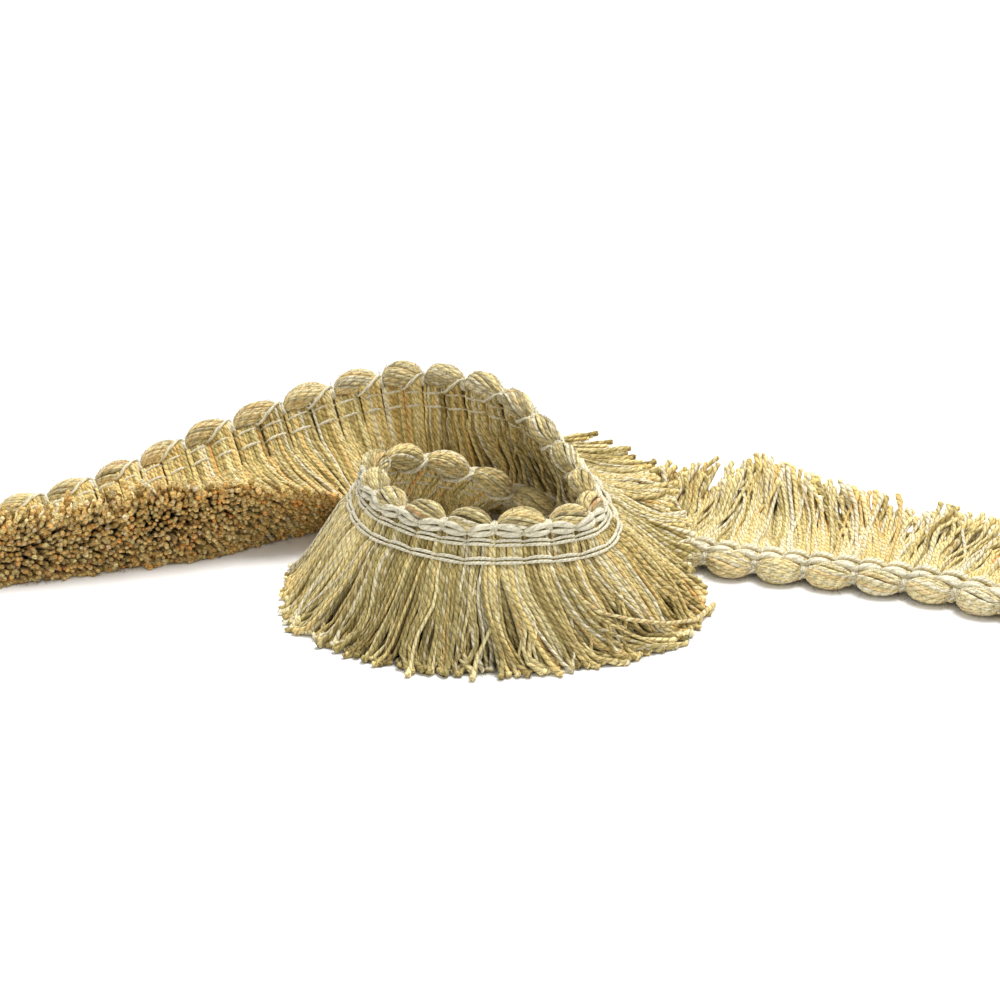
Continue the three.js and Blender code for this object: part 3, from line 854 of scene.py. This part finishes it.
def thin_pairs():
    """The thin cream cords: two pairs on the heading's face and two single ones on its back."""
    puff = along_trim(12)
    cell = cell_swell(puff)
    relaxed = read_off(RELAXED, puff)
    made = []
    for row, shift in THIN_PAIRS:
        wander = 0.12 * np.sin(3.1 * puff + shift) + 0.07 * np.sin(7.3 * puff + shift)
        for side in (-1, 1):
            below = row + side * (0.42 + 0.12 * cell) + wander + 0.15 * (1 - cell)
            outward = 0.85 + (0.8 + 0.45 * relaxed) * cell**0.5
            made.append(long_strand(puff, below, outward, 0.27 + (0.13 + 0.1 * relaxed) * cell**0.5))
    slant = 0.3 - 0.6 * np.mod(puff * CELLS_PER_PUFF, 1.0)
    for row, deepest, swell in BACK_CORDS:
        below = row + slant - 0.15 * cell + 0.1 * np.sin(4.1 * puff + row)
        made.append(long_strand(puff, below, -deepest - 1.05 * cell**0.5, 0.22 + swell * cell))
    paths, radii, reference = joined(made)
    return strands("thin_cords", paths, radii, reference, cream_with_painted_shade(puff), 6, CREAM_CORD)


def cell_ties():
    """The ties between the cells of the heading, sunk in their grooves, front and back."""
    first, last = math.ceil(FIRST_PUFF * CELLS_PER_PUFF), math.floor(LAST_PUFF * CELLS_PER_PUFF)
    cells = np.arange(first, last + 1) / CELLS_PER_PUFF
    below = np.linspace(1.2, 9.6, 7)
    made = []
    for side, out in ((-1.0, 0.4), (1.0, 0.65)):
        puff = np.repeat(cells[:, None], len(below), 1) + rng.normal(0, 0.008, (len(cells), len(below)))
        outward = side * (out + 0.12 * np.sin(below * 1.5))[None, :] + np.zeros_like(puff)
        depth = np.broadcast_to(below, puff.shape)
        made.append((on_heading(puff, depth, outward), np.full(puff.shape, 0.3), station(puff)["ahead"]))
    paths, radii, reference = joined(made)
    browns = np.repeat([BACK_TIE_BROWN, TIE_BROWN], len(cells), 0)[:, None, :]
    return strands("cell_ties", paths, radii, reference, browns, 5, HEADING_GROUND)


# The crown

CROWN_YARNS = 22
PUFF_RADIUS = 3.15
NECK_RADIUS = 0.95
NECK_DROP = 1.2
# how flat the crown is pressed, and how many radians its yarns wind on from puff to puff
CROWN_FLATNESS = 0.92
CROWN_SPIRAL = 1.1
PUFF_HALF = 0.45
PUFF_PROFILE = np.array([-0.5, -0.453, -0.43, -0.37, -0.26, -0.12, 0.0, 0.12, 0.26, 0.37, 0.43, 0.453])
# how much of the cord's cream is in the crown's yarns: a place, and a share
CROWN_PALENESS = ((10, 0.35), (14, 0.12), (22, 0.12), (27, 0.3))


def crown_places():
    """Places along the crown that are close together at the necks."""
    numbers = np.arange(math.floor(FIRST_PUFF), math.ceil(LAST_PUFF) + 1)
    places = (numbers[:, None] + PUFF_PROFILE[None, :]).ravel()
    return places[(places >= FIRST_PUFF) & (places <= LAST_PUFF)]


def fullness(puff):
    """0 at a neck and 1 at the middle of a puff, rounded like the end of an egg between them."""
    away = np.abs(puff - np.round(puff)) / PUFF_HALF
    return np.clip(1 - away**1.9, 0, 1) ** 0.66


def crown_radius(full, size=1.0):
    """The crown's radius where it is so full, in a puff of this size."""
    return NECK_RADIUS + (PUFF_RADIUS - NECK_RADIUS) * full * size


def in_puff(values, puff):
    """A value drawn for each puff, held through it."""
    number = np.round(puff).astype(int) - math.floor(FIRST_PUFF)
    return values[np.clip(number, 0, len(values) - 1)]


def crown_yarns():
    """The soft yarns of the crown, which run through all the puffs and spread and close with them."""
    puff = crown_places()
    total = math.ceil(LAST_PUFF) - math.floor(FIRST_PUFF) + 2
    numbers = np.arange(total) + math.floor(FIRST_PUFF) + 0.0
    full = fullness(puff)
    size = in_puff(rng.normal(1.0, 0.04, total), puff)
    turned = CROWN_SPIRAL * puff + in_puff(rng.uniform(-0.3, 0.3, total), puff) * full
    drop = NECK_DROP * (1 - full) ** 1.5
    made, plies = [], ([], [])
    pale = read_off(CROWN_PALENESS, numbers)[:, None]
    for number in range(CROWN_YARNS):
        angle = 2 * np.pi * number / CROWN_YARNS + turned + in_puff(rng.normal(0, 0.08, total), puff) * full
        yarn = 0.2 + 0.33 * full * in_puff(rng.normal(1.0, 0.13, total), puff)
        radius = crown_radius(full, size) - 0.8 * yarn + in_puff(rng.normal(0, 0.1, total), puff) * full
        outward = radius * CROWN_FLATNESS * np.sin(angle)
        made.append(long_strand(puff, drop + radius * np.cos(angle), outward, yarn))
        first_dye = pick_dyes_and_painted_light(numbers) * (1 - pale) + CORD_CREAM * pale
        second_dye = first_dye * (1 - PLY_CONTRAST) + pick_dyes_and_painted_light(numbers) * PLY_CONTRAST
        for ply, dye in zip(plies, (first_dye, second_dye)):
            ply.append(in_puff(dye, puff))
    paths, radii, reference = joined(made)
    first_ply, second_ply = (np.array(ply) for ply in plies)
    paths = rest_on_table(paths, radii)
    return strands("crown_yarns", paths, radii, reference, first_ply, 5, CROWN_YARN, second_ply)


def crown_shade_core():
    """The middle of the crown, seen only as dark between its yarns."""
    puff = crown_places()
    full = fullness(puff)
    path, radii, reference = long_strand(puff, NECK_DROP * (1 - full) ** 1.5, 0 * puff, 0.3 + 2.2 * full)
    # the core is a darkened olive: painted shade between the crown's yarns
    dyes = np.broadcast_to(GROUND_OLIVE * 0.7, (1, len(puff), 3))
    return strands("crown_shade_core", path, radii, reference, dyes, 8, HEADING_GROUND)


def neck_ties():
    """Cream thread wound three times round each neck of the crown and down to the heading."""
    necks = np.arange(math.ceil(FIRST_PUFF - 0.5), math.floor(LAST_PUFF - 0.5) + 1) + 0.5
    angle = np.linspace(0, 2 * np.pi, 13)
    made = []
    for shift in (-0.05, 0.0, 0.05):
        puff = necks[:, None] + shift + 0.025 * np.sin(angle)[None, :]
        below = np.broadcast_to(1.45 - 1.3 * np.cos(angle)[None, :], puff.shape)
        outward = np.broadcast_to(1.35 * np.sin(angle)[None, :], puff.shape)
        made.append((on_heading(puff, below, outward), np.full(puff.shape, 0.42), station(puff)["ahead"]))
    paths, radii, reference = joined(made)
    paths = rest_on_table(paths, radii)
    return strands("neck_ties", paths, radii, reference, CORD_CREAM, 6, CREAM_CORD)


# Loose fibres

CROWN_FIBRES = 4200
BRUSH_FIBRES = 2200
CUT_END_FIBRES = 4200
# the coil's cut ends, the nearest to the eye, have a quarter of the cut ends' fibres to themselves
COIL_PLACES = (14, 24)
COIL_SHARE = 0.25


def fibres(name, start, lean, length, radius, colours):
    """Fine fibres that stand off the yarn and curl over: lean is the way each starts out."""
    count, rings = len(start), 3
    t = np.linspace(0, 1, rings)[None, :, None]
    curl = unit(rng.normal(0, 1, (count, 3)))[:, None, :]
    second = unit(rng.normal(0, 1, (count, 3)))[:, None, :]
    reach = length[:, None, None]
    paths = start[:, None, :] + lean[:, None, :] * t * reach
    paths = paths + curl * reach * 0.6 * t**2 + second * reach * 0.3 * np.sin(5 * t) * t
    radii = radius * np.linspace(1, 0.45, rings)[None, :] * np.ones((count, 1))
    paths[..., 2] = np.maximum(paths[..., 2], 0.05)
    return strands(name, paths, radii, curl + 0.01, colours[:, None, :], 3, LOOSE_FIBRE)


def crown_fuzz():
    """The haze of fine fibres that stands off the puffs."""
    count = CROWN_FIBRES
    puff = rng.uniform(FIRST_PUFF, LAST_PUFF, count)
    angle = rng.uniform(0, 2 * np.pi, count)
    radius = crown_radius(fullness(puff)) - 0.1
    start = on_heading(puff, radius * np.cos(angle), radius * CROWN_FLATNESS * np.sin(angle))
    centre = on_heading(puff, 0 * puff, 0 * puff)
    lean = unit(unit(start - centre) + rng.normal(0, 0.6, (count, 3)))
    brown = (rng.random(count) < 0.4)[:, None]
    dyes = np.where(brown, DARK_BROWN * 1.4, pick_dyes_and_painted_light(puff))
    return fibres("crown_fuzz", start, lean, rng.uniform(0.6, 2.4, count), 0.045, dyes)


def brush_fuzz():
    """Short fibres that stand off the yarns of the brush's two faces."""
    count = BRUSH_FIBRES
    puff = rng.uniform(FIRST_PUFF, LAST_PUFF, count)
    across = np.where(rng.random(count) < 0.6, 1.03, -0.03)
    along = rng.uniform(0.05, 0.98, count)
    stretch = np.ones(count)
    start = in_brush(puff, across, along, stretch)
    middle = in_brush(puff, 0.5 + 0 * across, along, stretch)
    lean = unit(start - middle + rng.normal(0, 2.5, (count, 3)))
    start[:, 2] = np.maximum(start[:, 2], 0.3)
    return fibres("brush_fuzz", start, lean, rng.uniform(0.6, 2.0, count), 0.03, pick_dyes_and_painted_light(puff))


def cut_end_fibres():
    """Fibres that spring out of the cut ends of the brush."""
    count = CUT_END_FIBRES
    at_coil = rng.random(count) < COIL_SHARE
    coil_puff = rng.uniform(*COIL_PLACES, count)
    puff = np.where(at_coil, coil_puff, rng.uniform(FIRST_PUFF, LAST_PUFF, count))
    across = rng.beta(0.5, 0.5, count)
    along = rng.uniform(0.96, 1.03, count)
    stretch = rng.normal(1.0, 0.03, count)
    start = in_brush(puff, across, along, stretch)
    before = in_brush(puff, across, along - 0.1, stretch)
    lean = unit(unit(start - before) + rng.normal(0, 0.45, (count, 3)))
    start[:, 2] = np.maximum(start[:, 2], 0.3)
    return fibres("cut_end_fibres", start, lean, rng.uniform(0.6, 1.8, count), 0.06, pick_dyes_and_painted_light(puff) * 1.1)


# Putting it together

ground = heading_ground()
heading_pieces = [ground, plump_pair(), thin_pairs(), cell_ties()]
crown_pieces = [crown_yarns(), crown_shade_core(), neck_ties(), crown_fuzz()]
strip_count = round((LAST_PUFF - FIRST_PUFF) / PUFFS_PER_STRIP)
fringe_nodes = [f"fringe_{strip + 1:02d}" for strip in range(strip_count)]
brush_pieces = [cut_end_fibres(), brush_fuzz()]
for piece in brush_pieces:
    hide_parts(*fringe_nodes)
for strip, node in enumerate(fringe_nodes):
    start = FIRST_PUFF + strip * PUFFS_PER_STRIP
    for piece in brush(strip + 1, start, start + PUFFS_PER_STRIP):
        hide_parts(node)
        brush_pieces.append(piece)
for piece in heading_pieces:
    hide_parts("heading")
for piece in crown_pieces:
    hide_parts("crown")
every_piece = heading_pieces + crown_pieces + brush_pieces
for piece in every_piece:
    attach(piece, "root")


# The table, light and camera

TABLE_HALF_WIDTH = 6.0
# how white the studio is all round, in the world's strength
STUDIO_WHITE = 0.68


def table():
    """A plain table top, far wider than the picture."""
    top = bmesh.new()
    bmesh.ops.create_grid(top, x_segments=1, y_segments=1, size=TABLE_HALF_WIDTH)
    mesh = bpy.data.meshes.new("table_top")
    top.to_mesh(mesh)
    top.free()
    mesh.materials.append(table_paper())
    return add_object("table_top", mesh)


def soft_light(name, place, aim, size, power):
    """A round soft light at a place, turned to what it is aimed at."""
    light = bpy.data.lights.new(name, "AREA")
    light.shape = "DISK"
    light.size = size
    light.energy = power
    lamp = add_object(name, light)
    lamp.location = place
    lamp.rotation_euler = (Vector(aim) - Vector(place)).to_track_quat("-Z", "Y").to_euler()


def photograph_camera():
    """The camera of the photograph, aimed at the origin of the lay."""
    elevation = math.radians(CAMERA["elevation"])
    aim = Vector(-MIDDLE) * MM
    back = Vector((0, -math.cos(elevation), math.sin(elevation))) * CAMERA["distance"] * MM
    data = bpy.data.cameras.new("camera")
    data.lens = CAMERA["lens"]
    data.sensor_width = CAMERA["sensor"]
    data.clip_start = 0.01
    camera = add_object("camera", data)
    camera.location = aim + back
    camera.rotation_euler = (-back).to_track_quat("-Z", "Y").to_euler()
    bpy.context.scene.camera = camera


table()
world = bpy.data.worlds.new("white_studio")
bpy.context.scene.world = world
world.use_nodes = True
world.node_tree.nodes["Background"].inputs["Color"].default_value = (1.0, 1.0, 1.0, 1.0)
world.node_tree.nodes["Background"].inputs["Strength"].default_value = STUDIO_WHITE
soft_light("overhead_softbox", place=(0.35, 0.3, 1.5), aim=(0, 0.05, 0), size=0.9, power=24.0)
photograph_camera()
bpy.context.scene.view_settings.view_transform = "Standard"
